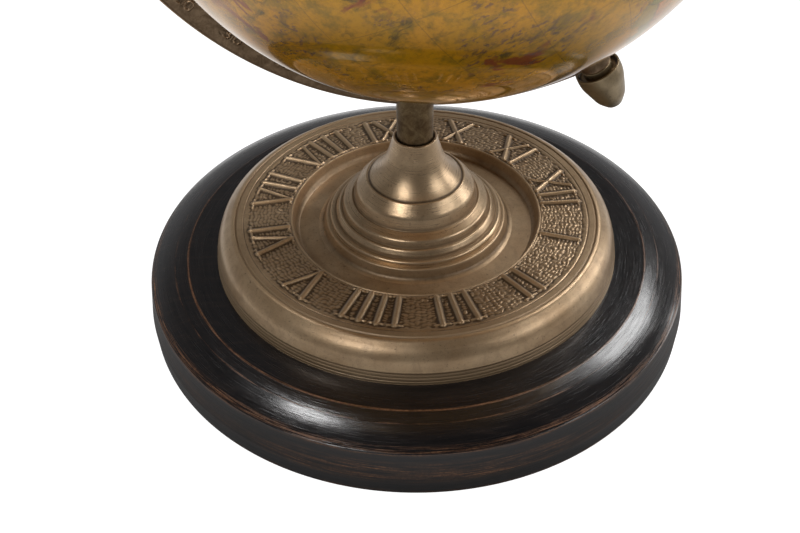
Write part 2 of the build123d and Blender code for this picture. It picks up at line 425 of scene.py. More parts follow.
def lacquered_wood():
    """Black lacquer, glossy above and satin on the side, rubbed through to orange-brown wood in
    broken lines round the top's arrises and in streaks low on the side."""
    s = Shader("black_lacquered_wood")
    whole, x, y, z = s.place()
    radius = s.distance_from_axis(x, y)
    scratch = s.turning(x, y, z, 9.0, 0.4, 3.0, 0.6)
    drift = s.turning(x, y, z, 2.6, 2.2, 4.0, 0.65)
    fleck = s.noise(whole, 0.8, 4.0, 0.7)
    grain = s.noise(s.join(s.times(x, 0.06), s.times(y, 0.5), s.times(z, 0.5)), 1.0, 4.0)
    lacquer = s.mix(s.fit(drift, 0.35, 0.65), (0.0075, 0.007, 0.0075), (0.015, 0.0125, 0.0125))
    lacquer = s.tint(lacquer, s.fit(grain, 0.5, 0.7), 0.5, (0.026, 0.019, 0.016))
    wood = s.mix(s.fit(fleck, 0.35, 0.65), (0.13, 0.045, 0.016), (0.34, 0.16, 0.07))

    def near_radius(middle, width):
        away = s.math("ABSOLUTE", s.minus(radius, middle))
        return s.fit(away, 0.0, width, 1.0, 0.0)

    top = s.fit(z, 24.2, 25.0)
    broken = s.fit(drift, 0.36, 0.60)
    dashes = s.fit(scratch, 0.44, 0.62)
    shelf_line = s.times(near_radius(SHELF_R + 0.15, 0.7), s.fit(scratch, 0.36, 0.56, 0.15, 1.0))
    roll_line = s.times(near_radius(ROLL_R - 3.4, 0.5), s.times(broken, dashes))
    facing = s.fit(s.math("DIVIDE", y, BASE_R), 0.45, -0.25, 0.12, 1.0)
    flecks = s.times(near_radius(BASE_R - 3.2, 2.0), s.times(dashes, s.fit(drift, 0.40, 0.55)))
    worn_top = s.math("MAXIMUM", s.math("MAXIMUM", shelf_line, roll_line), flecks)
    low_side = s.times(s.fit(z, 7.0, 11.0), s.fit(z, 16.0, 21.0, 1.0, 0.0))
    front = s.fit(s.math("DIVIDE", y, BASE_R), -0.80, -0.98, 0.35, 1.0)
    streaks = s.times(s.times(low_side, front), dashes)
    streaks = s.times(streaks, s.fit(drift, 0.42, 0.62))
    side_edge = s.times(s.mark("edge"), s.times(dashes, 0.8))
    worn_side = s.math("MAXIMUM", streaks, side_edge)
    worn_top = s.times(worn_top, facing)
    worn_side = s.times(worn_side, s.fit(top, 0, 1, 1.0, 0.25))
    show = s.times(s.math("MAXIMUM", s.times(worn_top, top), worn_side), 0.9)
    color = s.mix(show, lacquer, wood)
    rough = s.plus(s.fit(top, 0, 1, 0.34, 0.17), s.times(show, 0.22))
    rough = s.plus(rough, s.fit(scratch, 0.35, 0.65, -0.06, 0.12))
    bumps = [(drift, 0.10), (scratch, 0.05)]
    return s.finish(color, rough, bumps, Coat_Weight=0.2, Coat_Roughness=0.12, IOR=1.5)


def dark_brass(name, pale, dark, cad=False):
    """Aged brown brass that was drawn or sawn rather than turned: mottled, with rubbed edges, and with a
    painted shadow on one side of each raised line of the arm's scale.
    """
    s = Shader(name, cad)
    whole, x, y, z = s.place()
    mottle = s.noise(whole, 0.22, 5.0, 0.7, distortion=0.6)
    fine = s.noise(whole, 1.4, 3.0, 0.65)
    drawn = s.noise(s.join(s.times(x, 2.2), s.times(y, 2.2), s.times(z, 0.16)), 1.0)
    color = s.mix(s.fit(mottle, 0.36, 0.64), dark, pale)
    color = s.tint(color, s.fit(fine, 0.5, 0.7), 0.45, dark)
    # painted shadow: dark on one side of each raised line of the arm, where the arm's mark is set
    color = s.tint(color, s.mark("hollow_and_shadow"), 0.85, tuple(c * 0.35 for c in dark))
    color = s.tint(color, s.mark("edge"), 0.8, tuple(c * 2.2 for c in pale))
    gloss = s.fit(mottle, 0.3, 0.7, 0.52, 0.37)
    return s.finish(color, gloss, [(fine, 0.06), (drawn, 0.02)], Metallic=1.0)


def steel():
    s = Shader("zinc_plated_steel", cad=True)
    whole, x, y, z = s.place()
    marks = s.turning(x, y, z, 0.8, 0.3, 3.0, 0.6)
    spangle = s.noise(whole, 0.4, 2.0, 0.5)
    color = s.mix(s.fit(spangle, 0.35, 0.65), (0.50, 0.50, 0.47), (0.62, 0.62, 0.63))
    return s.finish(color, s.fit(marks, 0.3, 0.7, 0.26, 0.42), [(marks, 0.01)], Metallic=1.0)


def felt():
    s = Shader("pressed_felt", cad=True)
    whole = s.place()[0]
    fibre = s.noise(whole, 1.3, 6.0, 0.75, distortion=1.2)
    tuft = s.noise(whole, 0.15, 3.0, 0.6)
    color = s.mix(s.fit(fibre, 0.35, 0.65), (0.008, 0.009, 0.009), (0.035, 0.036, 0.034))
    color = s.tint(color, s.fit(tuft, 0.4, 0.65), 0.4, (0.02, 0.022, 0.02))
    return s.finish(color, 0.95, [(fibre, 0.25)], Sheen_Weight=0.4, Specular_IOR_Level=0.2)


def inner_plastic():
    s = Shader("moulded_nylon", cad=True)
    whole = s.place()[0]
    grain = s.noise(whole, 0.9, 3.0, 0.6)
    color = s.mix(s.fit(grain, 0.35, 0.65), (0.60, 0.56, 0.47), (0.70, 0.67, 0.58))
    return s.finish(color, s.fit(grain, 0.3, 0.7, 0.42, 0.55), [(grain, 0.02)])


# ---------- the map's land
# Coarse outlines as (longitude, latitude), drawn one by one. The shader adds the coast's detail.
LAND = {
    "north_america": [
        (-168, 66), (-156, 71), (-128, 70), (-108, 68), (-94, 72), (-82, 68), (-78, 60), (-65, 59),
        (-56, 52), (-65, 45), (-74, 40), (-81, 31), (-80, 25), (-90, 30), (-97, 26), (-96, 19),
        (-88, 21), (-83, 10), (-78, 8), (-88, 13), (-105, 20), (-113, 31), (-118, 34), (-124, 40),
        (-124, 48), (-135, 58), (-150, 60), (-162, 57), (-158, 62),
    ],
    "south_america": [
        (-78, 8), (-72, 12), (-60, 9), (-50, 1), (-35, -6), (-39, -15), (-48, -26), (-57, -36),
        (-65, -42), (-69, -53), (-74, -50), (-71, -32), (-70, -18), (-80, -6),
    ],
    "africa": [
        (-17, 15), (-10, 30), (-5, 36), (10, 37), (20, 32), (32, 31), (37, 20), (43, 12), (51, 12),
        (42, -2), (40, -15), (33, -27), (26, -34), (18, -34), (12, -18), (12, -6), (8, 4), (-8, 5),
    ],
    "eurasia": [
        (-9, 37), (-9, 43), (-1, 47), (8, 54), (12, 57), (5, 60), (14, 67), (26, 71), (40, 66),
        (60, 69), (80, 73), (105, 77), (130, 72), (160, 70), (190, 66), (178, 62), (163, 59), (156, 52),
        (142, 54), (135, 44), (127, 38), (121, 38), (121, 29), (110, 20), (108, 11), (100, 13),
        (103, 2), (98, 9), (94, 17), (86, 20), (78, 8), (72, 20), (66, 25), (57, 26), (55, 17),
        (44, 13), (35, 28), (36, 36), (27, 37), (22, 38), (14, 45), (17, 40), (9, 44), (3, 42),
    ],
    "australia": [
        (114, -22), (122, -17), (131, -12), (136, -15), (142, -11), (146, -19), (153, -27), (150, -37),
        (141, -38), (131, -32), (118, -35), (115, -32),
    ],
    "antarctica": [
        (-180, -78), (-150, -77), (-120, -74), (-75, -73), (-58, -63), (-62, -75), (-30, -79), (0, -70),
        (45, -68), (90, -66), (140, -66), (165, -72), (180, -78), (180, -90), (-180, -90),
    ],
    "greenland": [(-73, 78), (-60, 82), (-30, 83), (-20, 74), (-43, 60), (-54, 67)],
    "madagascar": [(44, -17), (49, -12), (50, -17), (46, -25), (43, -22)],
    "britain": [(-5, 50), (1, 52), (-2, 56), (-5, 58), (-4, 54)],
    "japan": [(130, 32), (136, 34), (141, 36), (142, 43), (140, 42), (137, 37), (131, 34)],
    "sumatra": [(95, 5), (104, -2), (106, -6), (101, -3)],
    "borneo": [(109, 1), (117, 7), (118, 1), (114, -4)],
    "new_guinea": [(131, -1), (141, -3), (150, -10), (143, -9), (137, -6)],
    "new_zealand": [(167, -46), (173, -41), (175, -36), (178, -38), (174, -42), (170, -46)],
    "iceland": [(-24, 65), (-16, 66), (-14, 64), (-20, 63)],
    "java": [(105, -6), (114, -7), (114, -9), (107, -8)],
}
GRID_DEG = 15.0
GRID_LINE = 0.25
WASHES = [
    (0.0, (0.24, 0.17, 0.010)),
    (0.2, (0.55, 0.27, 0.030)),
    (0.36, (0.13, 0.135, 0.015)),
    (0.55, (0.46, 0.16, 0.030)),
    (0.7, (0.25, 0.025, 0.025)),
    (0.84, (0.40, 0.23, 0.020)),
]


def on_sphere(longitude, latitude):
    lon, lat = np.radians(longitude), np.radians(latitude)
    return np.stack([np.cos(lat) * np.cos(lon), np.cos(lat) * np.sin(lon), np.sin(lat)], -1)


def inside(longitude, latitude, outline):
    """Which places lie inside an outline, counting its crossings to the north."""
    found = np.zeros(longitude.shape, bool)
    for shift in (0, 360):
        lon = longitude + shift
        crossed = np.zeros(longitude.shape, bool)
        for (x0, y0), (x1, y1) in zip(outline, outline[1:] + outline[:1]):
            if x0 == x1:
                continue
            over = (lon >= min(x0, x1)) & (lon < max(x0, x1))
            height = y0 + (lon - x0) * (y1 - y0) / (x1 - x0)
            crossed ^= over & (height > latitude)
        found |= crossed
    return found


def shore_distance(places):
    """Signed distance to the nearest shore in mm on the globe, above zero inland."""
    longitude = (np.degrees(np.arctan2(places[:, 1], places[:, 0])) + 180) % 360 - 180
    latitude = np.degrees(np.arcsin(np.clip(places[:, 2], -1, 1)))
    unit = on_sphere(longitude, latitude)
    nearest = np.full(len(unit), 2.0)
    land = np.zeros(len(unit), bool)
    for outline in LAND.values():
        land |= inside(longitude, latitude, outline)
        for start, end in zip(outline, outline[1:] + outline[:1]):
            if start[1] == -90 or end[1] == -90:
                continue
            a, b = on_sphere(*start), on_sphere(*end)
            share = np.clip((unit - a) @ (b - a) / ((b - a) @ (b - a)), 0, 1)[:, None]
            nearest = np.minimum(nearest, np.linalg.norm(unit - a - share * (b - a), axis=1))
    return np.where(land, nearest, -nearest) * GLOBE_R


def sea_color(s, whole, mottle):
    stain = s.noise(whole, 0.022, 5.0, 0.65, distortion=0.5)
    sea = s.mix(s.fit(stain, 0.38, 0.62), (0.62, 0.272, 0.012), (0.47, 0.232, 0.006))
    return s.tint(sea, s.fit(mottle, 0.48, 0.64), 0.75, (0.215, 0.135, 0.012))


def land_color(s, whole, mottle, shore):
    """Regions in washes that are stronger towards each border and shore, which is a dark line."""
    drift = s.node("TexNoise", {"Vector": whole, "Scale": 0.06, "Detail": 4.0}).outputs[1]
    warp = s.node("VectorMath", {0: drift, "Scale": 16.0}, operation="SCALE").outputs[0]
    moved = s.node("VectorMath", {0: whole, 1: warp}, operation="ADD").outputs[0]
    regions = {"Vector": moved, "Scale": 0.045}
    cells = s.node("TexVoronoi", regions)
    borders = s.node("TexVoronoi", regions, feature="DISTANCE_TO_EDGE")
    chance = s.node("SeparateColor", {0: cells.outputs["Color"]}).outputs[0]
    palette = s.node("ValToRGB", {0: chance})
    ramp = palette.color_ramp
    ramp.interpolation = "CONSTANT"
    for i, (stop, color) in enumerate(WASHES):
        element = ramp.elements[0] if i == 0 else ramp.elements.new(stop)
        element.position = stop
        element.color = (*color, 1)
    ramp.elements.remove(ramp.elements[len(WASHES)])
    rim = s.math("MINIMUM", s.times(borders.outputs["Distance"], 22.0), shore)
    ground = s.mix(s.fit(mottle, 0.40, 0.60), (0.46, 0.25, 0.02), (0.31, 0.17, 0.012))
    wash = s.mix(s.fit(rim, 0.3, 4.5, 0.95, 0.55), ground, palette.outputs[0])
    return s.tint(wash, s.fit(rim, 0.15, 0.50, 1.0, 0.0), 0.8, (0.06, 0.026, 0.012))


def ruled_lines(s, color, latitude, longitude, shore):
    """Shore lines at sea, a graticule and the equator's scale bar, over the colour."""
    ripple = s.math("SINE", s.times(shore, 6.0))
    near_shore = s.times(s.fit(shore, -6.5, -0.2), s.fit(shore, -0.05, 0.1, 1.0, 0.0))
    shore_lines = s.times(s.fit(ripple, 0.2, 0.8), near_shore)
    color = s.tint(color, shore_lines, 0.65, (0.11, 0.065, 0.012))
    degrees = 180 / math.pi
    mm_per_deg = GLOBE_R / degrees

    def grid_line(angle_deg, mm_per_degree):
        phase = s.math("PINGPONG", angle_deg, GRID_DEG / 2)
        return s.fit(s.times(phase, mm_per_degree), GRID_LINE * 0.6, GRID_LINE, 1.0, 0.0)

    lat_deg = s.times(latitude, degrees)
    lon_deg = s.plus(s.times(longitude, degrees), 180.0)
    narrowing = s.times(s.math("COSINE", latitude), mm_per_deg)
    graticule = s.math("MAXIMUM", grid_line(lat_deg, mm_per_deg), grid_line(lon_deg, narrowing))
    color = s.tint(color, graticule, 0.38, (0.12, 0.07, 0.02))
    off_equator = s.math("ABSOLUTE", s.times(lat_deg, mm_per_deg))
    scale_bar = s.fit(off_equator, 0.9, 1.05, 1.0, 0.0)
    blocks = s.math("GREATER_THAN", s.math("PINGPONG", lon_deg, 2.5), 1.25)
    return s.mix(scale_bar, color, s.mix(blocks, (0.09, 0.05, 0.02), (0.50, 0.32, 0.08)))


def printed_marks(s, color, whole, east, north):
    """Hachures along the parallels, thickest in drifts, then smoky and red stains, and fine
    unreadable marks in loose rows, over the colour."""
    stroke_place = s.join(s.times(east, 0.15), s.times(north, 0.22), 0.0)
    stroke = s.fit(s.noise(stroke_place, 1.0, 5.0, 0.66, distortion=0.9), 0.50, 0.66)
    region = s.fit(s.noise(whole, 0.035, 3.0, 0.6), 0.42, 0.58, 0.15, 1.0)
    hachure = s.times(stroke, region)
    color = s.tint(color, hachure, 0.85, (0.085, 0.058, 0.012))
    cloud = s.fit(s.noise(whole, 0.05, 5.0, 0.7), 0.50, 0.64)
    smoke = s.times(cloud, s.fit(stroke, 0, 1, 0.35, 1.0))
    color = s.tint(color, smoke, 0.7, (0.125, 0.080, 0.045))
    red_patch = s.fit(s.noise(whole, 0.032, 4.0, 0.6, distortion=0.6), 0.62, 0.66)
    color = s.tint(color, red_patch, 0.8, (0.20, 0.030, 0.022))
    row_place = s.join(s.times(east, 0.4), s.times(north, 0.6), 0.0)
    writing = s.fit(s.noise(row_place, 1.0, 3.0, 0.55), 0.52, 0.60)
    rows = s.fit(s.math("PINGPONG", north, 3.4), 0.8, 1.5)
    page = s.fit(s.noise(whole, 0.05, 2.0, 0.5), 0.52, 0.60)
    writing = s.times(s.times(writing, rows), page)
    return s.tint(color, writing, 0.7, (0.13, 0.070, 0.050))


def map_print():
    """An old-style printed map under clear gloss: golden sea and land in washes of green, ochre
    and crimson, with ruled lines, print marks and age spots."""
    s = Shader("map_print")
    whole, x, y, z = s.place()
    latitude = s.math("ARCSINE", s.math("DIVIDE", z, GLOBE_R))
    longitude = s.math("ARCTAN2", y, x)
    east = s.times(longitude, s.times(s.math("COSINE", latitude), GLOBE_R))
    north = s.times(latitude, GLOBE_R)
    coarse = s.fit(s.noise(whole, 0.075, 6.0, 0.62), 0.25, 0.75, -7.0, 7.0)
    fine = s.fit(s.noise(whole, 0.45, 3.0, 0.6), 0.3, 0.7, -0.8, 0.8)
    shore = s.plus(s.plus(s.mark("shore"), coarse), fine)
    mottle = s.noise(whole, 0.11, 5.0, 0.7)
    land = s.fit(shore, -0.12, 0.12)
    color = s.mix(land, sea_color(s, whole, mottle), land_color(s, whole, mottle, shore))
    color = ruled_lines(s, color, latitude, longitude, shore)
    color = printed_marks(s, color, whole, east, north)
    age = s.noise(whole, 0.5, 6.0, 0.75)
    color = s.tint(color, s.fit(age, 0.48, 0.70), 0.45, (0.13, 0.08, 0.010))
    return s.finish(
        color,
        s.fit(age, 0.3, 0.7, 0.07, 0.12),
        [(mottle, 0.03)],
        Metallic=0.33,
        Specular_Tint=(1.0, 0.82, 0.62),
        Coat_Weight=0.22,
        Coat_Roughness=0.03,
    )


# ---------- turned stand pieces
def wood_base():
    return turned(
        "wood_base_turned",
        [
            (POCKET_R, FELT_T),
            (FELT_R, FELT_T),
            (FELT_R, RIM_FOOT),
            (BASE_R - 0.4, RIM_FOOT, 0.6),
            (BASE_R, 10.0),
            (BASE_R - 1.8, 24.7, 0.9),
            (ROLL_R, 29.6, 45.0),
            (SHELF_R, BASE_TOP, 0.4),
            (PLATE_R - 6.0, BASE_TOP),
            (PLATE_R - 8.0, BASE_TOP - 0.5),
            (POCKET_R, BASE_TOP - 0.5),
        ],
        columns=240,
        step=0.4,
        mark_width=0.9,
    )


PEDESTAL = [
    (13.0, BELL_CEILING_Z, 3.0),
    (19.0, 64.0, 4.0),
    (26.0, 56.0, 4.0),
    (34.0, 52.5, 1.5),
    (34.0, HUB_Z),
    (41.8, HUB_Z),
    (41.8, 51.6, 1.2),
    (39.2, 51.6, 0.1),
    (39.0, 51.0, 0.1),
    (38.6, 52.8, 0.5),
    (36.9, 55.4, 1.2),
    (35.6, 54.8, 0.1),
    (34.9, 58.2, 2.0),
    (30.6, 60.6, 0.6),
    (29.9, 60.0, 0.1),
    (28.4, 66.4, 6.0),
    (23.4, 71.8, 0.8),
    (22.4, 71.4, 0.1),
    (15.0, 78.0, 30.0),
    (10.2, PEDESTAL_TOP, 0.4),
    (POST_SEAT_R, PEDESTAL_TOP, 0.15),
    (POST_SEAT_R, POST_SEAT_Z),
    (TIE_BORE_R, POST_SEAT_Z),
    (TIE_BORE_R, BELL_CEILING_Z),
]

# ---------- dial plate
FOOT_R = 62.7
HEAD_R = 80.8
NUMERAL_H = 1.25
SERIF_HALF = 1.0
SERIF_SHARE = 0.62  # of the numerals' height
SERIF_REACH_DEG = 2.3
STROKE_PITCH_DEG = 5.8
RIDGE_ROUNDING = 0.42  # 0 is a sharp roof ridge
FIRST_HOUR_DEG = -17.4
HOUR_SHIFTS_DEG = [0.6, 1.6, 0.0, -0.3, -1.8, -1.8, -1.0, 1.2, -0.4, 2.6, 0.2, 1.2]
# Strokes of each letter as (foot, head, half width): the first two in degrees round the band.
LETTERS = {
    "I": [(0.0, 0.0, 2.15)],
    "V": [(0.0, -4.4, 2.15), (0.0, 4.4, 1.4)],
    "X": [(4.4, -4.4, 2.15), (-4.4, 4.4, 1.4)],
}
PEBBLES_AROUND = 196
PEBBLE_ROWS = 22
PEBBLE_ROW_PITCH = 1.75
PEBBLE_LENGTH = 0.48  # both as shares of a cell
PEBBLE_WIDTH = 0.36
PEBBLE_H = 0.42
BAND_DROP = 0.15  # the band's rims lie this far under its beads
GROUND_DROP = 0.5  # and the ground between the numerals this far
LETTER_WIDTH_DEG = {"I": STROKE_PITCH_DEG, "V": 10.6, "X": 10.2}
NUMERALS = ["I", "II", "III", "IIII", "V", "VI", "VII", "VIII", "IX", "X", "XI", "XII"]


def on_band(radius, angle_deg):
    angle = math.radians(angle_deg)
    return np.array([radius * math.cos(angle), radius * math.sin(angle)])


def numeral_strokes():
    """Every raised stroke of the twelve numerals as (start, end, half width, height)."""
    strokes = []
    for hour, text in enumerate(NUMERALS):
        middle = FIRST_HOUR_DEG - 30 * hour - HOUR_SHIFTS_DEG[hour]
        right = -sum(LETTER_WIDTH_DEG[letter] for letter in text) / 2
        for letter in text:
            right += LETTER_WIDTH_DEG[letter] / 2
            for foot, head, half in LETTERS[letter]:
                ends = ((FOOT_R, middle - right - foot), (HEAD_R, middle - right - head))
                strokes.append((on_band(*ends[0]), on_band(*ends[1]), half, NUMERAL_H))
                for radius, angle in ends:
                    serif_start = on_band(radius, angle - SERIF_REACH_DEG)
                    serif_end = on_band(radius, angle + SERIF_REACH_DEG)
                    strokes.append((serif_start, serif_end, SERIF_HALF, NUMERAL_H * SERIF_SHARE))
            right += LETTER_WIDTH_DEG[letter] / 2
    return strokes


def ridge_height(points, strokes):
    """Height of rounded, roof-shaped ridges along strokes, at points of the plan."""
    height = np.zeros(len(points))
    for start, end, half, tall in strokes:
        middle, reach = (start + end) / 2, np.linalg.norm(end - start) / 2 + half
        near = np.flatnonzero(((points - middle) ** 2).sum(1) < reach**2)
        along = end - start
        share = np.clip((points[near] - start) @ along / (along @ along), 0, 1)[:, None]
        off = np.linalg.norm(points[near] - start - share * along, axis=1) / half
        roof = (1 - np.sqrt(off**2 + RIDGE_ROUNDING**2)) / (1 - RIDGE_ROUNDING)
        height[near] = np.maximum(height[near], tall * roof)
    return height


def waves(u, v, rng, count, slow):
    """A smooth random field from a few sine waves that close around u = 0..2 pi."""
    field = np.zeros(np.broadcast(u, v).shape)
    for _ in range(count):
        turns = rng.integers(3, slow)
        field = field + np.sin(u * turns + v * rng.uniform(-1.2, 1.2) + rng.uniform(0, 2 * math.pi))
    return field / math.sqrt(count)


def stipple(angle, radius, rng):
    """Hammered pebbles in wavy rows: a jittered bump in each cell of a polar lattice, longer along
    its row than across it."""
    cells = PEBBLES_AROUND, PEBBLE_ROWS
    u = angle / (2 * math.pi) * PEBBLES_AROUND + 0.15 * waves(angle, radius, rng, 5, 40)
    v = (radius - BAND_INNER_R) / PEBBLE_ROW_PITCH + 0.30 * waves(angle, radius, rng, 6, 70)
    jitter = rng.uniform(-0.2, 0.2, (*cells, 2))
    size = rng.uniform(0.65, 1.0, cells)
    lean = rng.normal(0.0, 0.2, cells)
    cell_u, cell_v = np.floor(u).astype(int), np.floor(v).astype(int)
    height = np.zeros(u.shape)
    for du in (-1, 0, 1):
        for dv in (-1, 0, 1):
            i = (cell_u + du) % PEBBLES_AROUND
            j = (cell_v + dv) % PEBBLE_ROWS
            off_u = u - (cell_u + du + 0.5 + jitter[i, j, 0])
            off_v = v - (cell_v + dv + 0.5 + jitter[i, j, 1])
            cos, sin = np.cos(lean[i, j]), np.sin(lean[i, j])
            long = (off_u * cos + off_v * sin) / PEBBLE_LENGTH
            short = (off_v * cos - off_u * sin) / PEBBLE_WIDTH
            bump = size[i, j] * np.exp(-(long**2) - short**2)
            height = np.maximum(height, bump)
    return height


def dial_plate():
    """The cast plate: a turned body, and a fine polar grid for the numeral band."""
    grooves = []
    for groove_z in (32.4, 34.2, 36.0):
        wall_r = PLATE_R - (groove_z - BASE_TOP) / (ARRIS_Z - BASE_TOP)
        grooves.append((wall_r, groove_z))
        grooves.append((wall_r - 0.25, groove_z + 0.25, 0.1))
        grooves.append((wall_r - 0.1, groove_z + 0.6))
    corners = [
        (PLATE_BORE_R, BASE_TOP),
        (PLATE_BORE_R, HUB_Z - 4.0),
        (PLATE_R - 4.0, HUB_Z - 7.5),
        (PLATE_R - 4.0, BASE_TOP),
        (PLATE_R, BASE_TOP, 0.1),
        *grooves,
        (PLATE_R - 1.0, ARRIS_Z, 0.3),
        (PLATE_R - 3.4, SHOULDER_Z, 12.0),
        (PLATE_R - 9.0, BAND_Z + 0.1, 3.0),
        (GROOVE_R + 0.55, BAND_Z + 0.1, 0.15),
        (GROOVE_R, BAND_Z - 0.75, 0.1),
        (GROOVE_R - 0.55, BAND_Z + 0.05, 0.25),
        (BEAD_INNER_R, BAND_Z - 0.05, 0.5),
        (BEAD_INNER_R - 0.5, BAND_Z - 0.6),
        (BAND_INNER_R + 1.4, BAND_Z - 0.6),
        (BAND_INNER_R + 0.55, BAND_Z + 0.05, 0.2),
        (BAND_INNER_R, BAND_Z, 0.3),
        (BAND_INNER_R - 2.0, TROUGH_Z + 1.0, 4.5),
        (HUB_R + 7.4, TROUGH_Z, 7.0),
        (HUB_R + 1.8, TROUGH_Z + 2.6, 2.5),
        (HUB_R, HUB_Z, 0.6),
        (HUB_R - 4.0, HUB_Z),
        (HUB_R - 4.0, HUB_Z - 0.8),
        (PLATE_BORE_R, HUB_Z - 0.8),
    ]
    outline = resampled(rounded(corners), 0.42)
    edge, hollow_and_shadow = corner_marks(outline, 0.8)
    body_columns = 160
    body = lathe_part(outline, body_columns)

    # The numeral band: its first and last rows dip under the body's beads.
    columns = 1140
    rows = 58
    radii = np.linspace(BAND_INNER_R + 1.0, BEAD_INNER_R - 0.25, rows)
    angle, radius = np.meshgrid(whole_turn(columns), radii)
    rng = np.random.default_rng(12)
    wander = 0.12 * waves(angle, radius, rng, 6, 90)
    x, y = radius * np.cos(angle), radius * np.sin(angle)
    plan = np.stack([x + wander * np.cos(angle), y + wander * np.sin(angle)], -1).reshape(-1, 2)
    raised = ridge_height(plan, numeral_strokes()).reshape(angle.shape)
    pebbles = stipple(angle, radius, rng)
    slope = 1.2
    inner_share = np.clip((radius - FOOT_R + 1.4) / slope, 0, 1)
    field = inner_share * np.clip((HEAD_R + 2.2 - radius) / slope, 0, 1)
    ground = -BAND_DROP - (GROUND_DROP - BAND_DROP) * field
    ground = ground + PEBBLE_H * pebbles * field * np.clip(1 - raised * 4, 0, 1)
    relief = np.maximum(ground, raised - GROUND_DROP)
    relief[0] = relief[-1] = -0.4
    band = np.stack([x, y, BAND_Z + relief], -1)
    blurred = relief.copy()
    for axis in (0, 1):
        for _ in range(3):
            blurred = (np.roll(blurred, 2, axis) + blurred + np.roll(blurred, -2, axis)) / 3
    band_hollow = np.clip((blurred - relief) * 4.0 + 0.12, 0, 1)
    band_edge = np.clip((relief - blurred) * 3.0 - 0.15, 0, 1)
    parts = [body, (band[::-1], grid_faces(rows, columns, False, True))]
    marks = {
        "edge": np.concatenate([np.repeat(edge, body_columns), band_edge[::-1].ravel()]),
        "hollow_and_shadow": np.concatenate([np.repeat(hollow_and_shadow, body_columns), band_hollow[::-1].ravel()]),
    }
    return make_object("dial_plate_cast", parts, marks)


# ---------- meridian arm
# Digit strokes on a grid 4 wide and 6 high.
DIGITS = {
    "0": [[(1, 0), (0, 1.5), (0, 4.5), (1, 6), (3, 6), (4, 4.5), (4, 1.5), (3, 0), (1, 0)]],
    "1": [[(1, 5), (2.2, 6), (2.2, 0)]],
    "2": [[(0, 5), (1, 6), (3, 6), (4, 5), (4, 4), (0, 0), (4, 0)]],
    "3": [
        [(0, 5.2), (1, 6), (3, 6), (4, 5), (3, 3.2), (4, 1.4), (3, 0), (1, 0), (0, 0.8)],
        [(1.5, 3.2), (3, 3.2)],
    ],
    "4": [[(3, 0), (3, 6), (0, 2), (4, 2)]],
    "5": [[(4, 6), (0.3, 6), (0, 3.4), (3, 3.6), (4, 2.4), (3.6, 0.8), (2.4, 0), (0, 0.4)]],
    "6": [[(3.6, 5.8), (1.4, 5), (0, 3), (0, 1.2), (1, 0), (3, 0), (4, 1.4), (3, 3), (1, 3), (0, 2)]],
    "7": [[(0, 6), (4, 6), (1.6, 0)]],
    "8": [
        [(2, 3.2), (0.3, 4.4), (1, 6), (3, 6), (3.7, 4.4), (2, 3.2)],
        [(2, 3.2), (0, 1.6), (1, 0), (3, 0), (4, 1.6), (2, 3.2)],
    ],
    "9": [[(4, 4), (3, 3), (1, 3), (0, 4.6), (1, 6), (3, 6), (4, 4.6), (4, 3), (2.6, 1), (0.4, 0.2)]],
}
DIGIT_H = 4.3
LABEL_MIDDLE_R = 143.2
RAISED = 0.5  # height of the lines, whose tops are level with the arm's rims
LINE_HALF = 0.42
SCALE_START_DEG = 5.8  # how far the scale is turned round the arm, from the poles


def scale_strokes(reading):
    """The raised scale as strokes (start, end) on a strip of (arc length, radius). reading is
    +1 where the digits run with the arc, -1 where they run against it."""
    strokes = []
    for latitude in range(-85, 85, 5):
        along = math.radians(latitude + 90 + SCALE_START_DEG) * LABEL_MIDDLE_R
        tick_end = LABEL_MIDDLE_R + DIGIT_H * 0.4 if latitude % 10 == 0 else ARM_INNER_R + 3.2
        strokes.append(((along, ARM_INNER_R + 0.9), (along, tick_end)))
        if latitude % 10:
            continue
        text = str(abs(latitude)) if latitude else "00"
        unit = DIGIT_H / 6
        for place_in_label, digit in enumerate(text):
            left = 1.1 if place_in_label else -1.1 - 4 * unit
            for line in DIGITS[digit]:
                points = [
                    (along + reading * (left + px * unit), LABEL_MIDDLE_R - (py - 3) * unit)
                    for px, py in line
                ]
                strokes += list(zip(points, points[1:]))
    return strokes


def line_height(arc, radius, strokes):
    """Height of the rounded raised lines over a strip of (arc length, radius), as a share."""
    height = np.zeros(arc.shape)
    spot = np.stack([arc, radius], -1)
    for start, end in strokes:
        a, b = np.array(start), np.array(end)
        lows = np.searchsorted(arc[0], min(a[0], b[0]) - 1.0)
        highs = np.searchsorted(arc[0], max(a[0], b[0]) + 1.0)
        near = spot[:, lows:highs]
        share = np.clip((near - a) @ (b - a) / max((b - a) @ (b - a), 1e-9), 0, 1)[..., None]
        off = np.linalg.norm(near - a - share * (b - a), axis=-1)
        rise = np.clip(1.3 - off / LINE_HALF, 0, 1)
        height[:, lows:highs] = np.maximum(height[:, lows:highs], rise)
    return height


